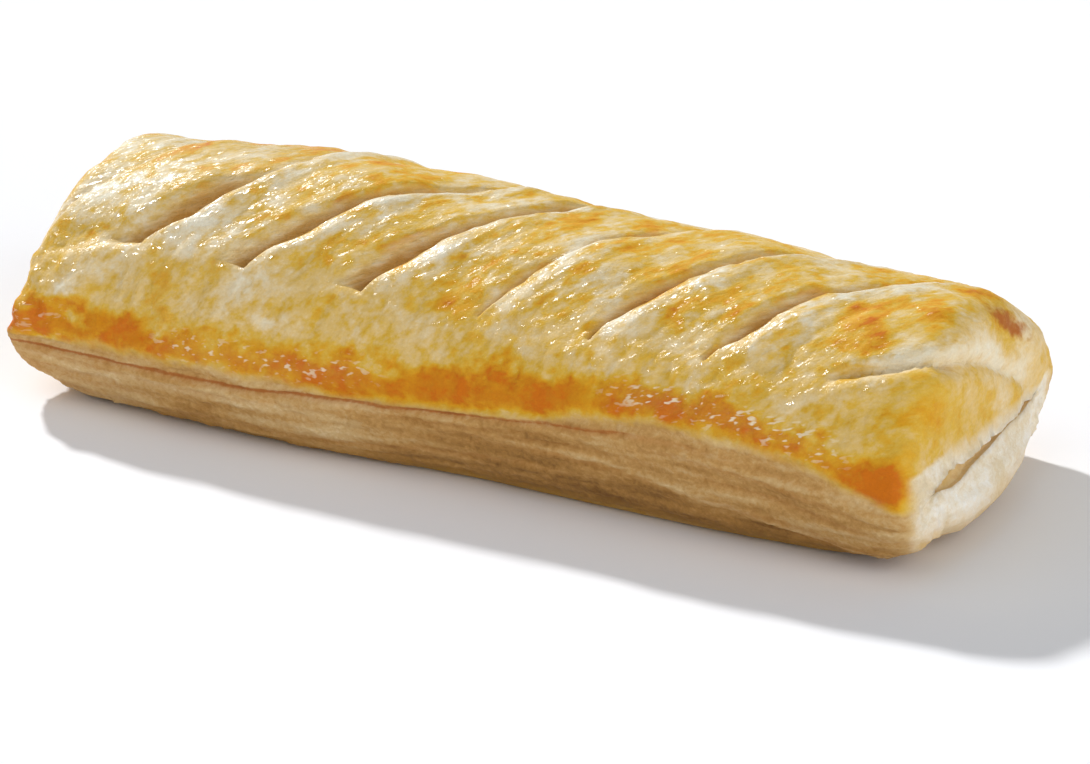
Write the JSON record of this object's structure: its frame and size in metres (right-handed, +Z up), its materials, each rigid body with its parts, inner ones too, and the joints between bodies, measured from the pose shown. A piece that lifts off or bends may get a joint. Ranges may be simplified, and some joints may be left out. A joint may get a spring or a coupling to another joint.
{
  "type": "sausage roll",
  "caption": "Baked puff-pastry sausage roll: a long domed golden case with diagonal slashes on top, layered sides and a slit in each end that shows the meat filling.",
  "frame": {"origin": "middle of the flat base, on the surface the roll rests on", "axes": "+X along the roll towards the end whose slit shows, +Y across it towards its back, +Z up through the slashed top"},
  "size_m": [0.1533, 0.0586, 0.037],
  "materials": {
    "pastry": "egg-washed puff pastry, pale gold with orange-brown edges and cream cut faces, satin to glossy in places",
    "filling": "cooked sausage meat, pinkish brown, coarse and slightly moist"
  },
  "bodies": {
    "root": {"pastry": "pastry", "filling": "filling"}
  },
  "joints": []
}
